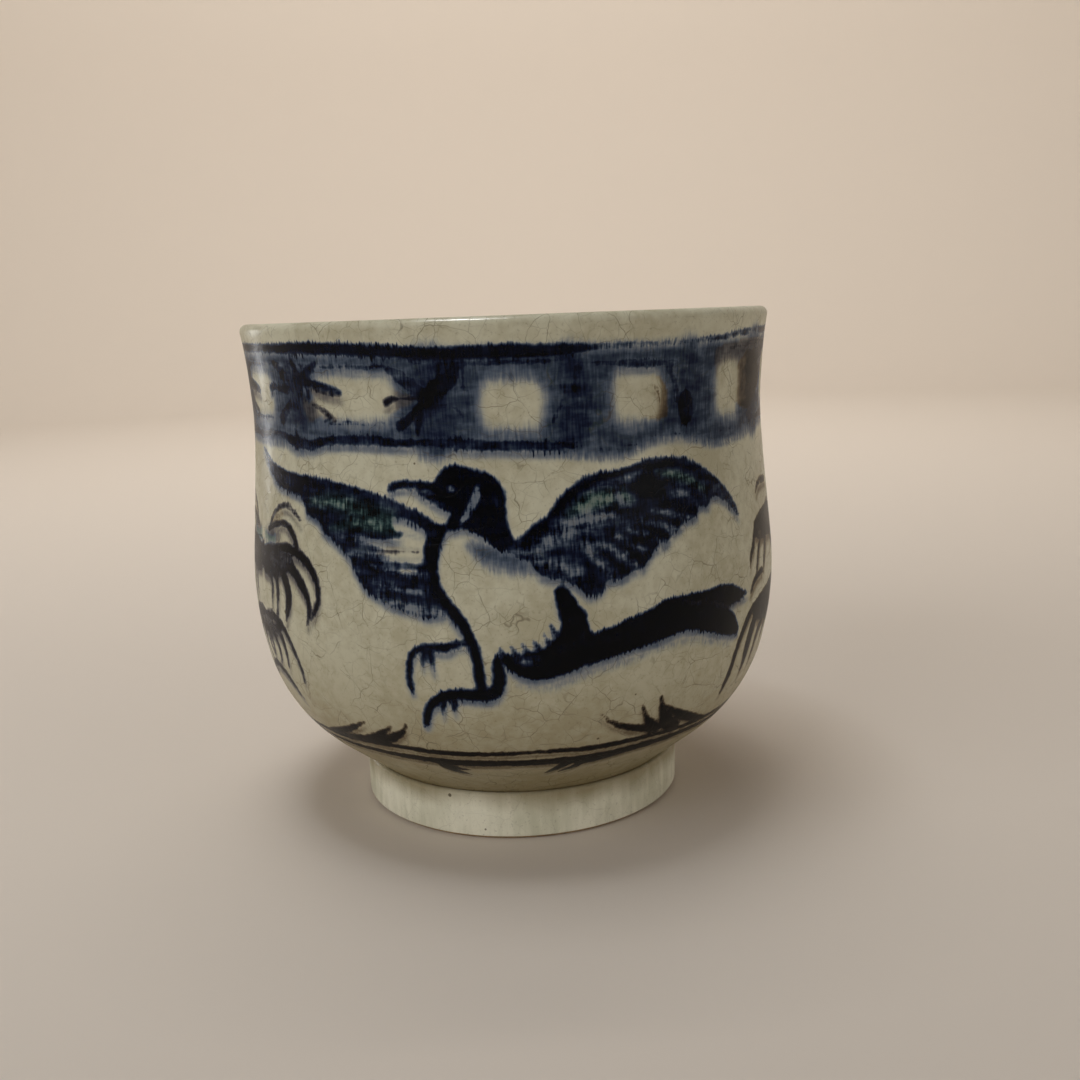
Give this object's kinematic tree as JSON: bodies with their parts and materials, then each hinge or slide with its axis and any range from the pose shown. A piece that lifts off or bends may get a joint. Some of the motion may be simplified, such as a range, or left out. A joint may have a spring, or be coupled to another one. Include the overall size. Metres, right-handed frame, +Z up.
{
  "type": "teacup",
  "caption": "Handleless round-bellied teacup with a flared lip and an upright foot ring, thrown clay under a crackled clear glaze.",
  "frame": {"origin": "centre of the foot ring's resting face", "axes": "+Z up along the throwing axis, +X to the right and +Y away from someone who faces the painted bird"},
  "size_m": [0.0912, 0.0912, 0.084],
  "materials": {
    "clay": "bisque, unglazed",
    "painted_glaze": "glossy crackle glaze over cobalt painting",
    "plain_glaze": "glossy crackle glaze",
    "foot_glaze": "glossy celadon-tinted glaze"
  },
  "bodies": {
    "root": {"bowl": "clay", "foot_ring": "clay", "outer_glaze": "painted_glaze", "inner_glaze": "plain_glaze", "foot_glaze": "foot_glaze", "recess_glaze": "plain_glaze"}
  },
  "joints": []
}
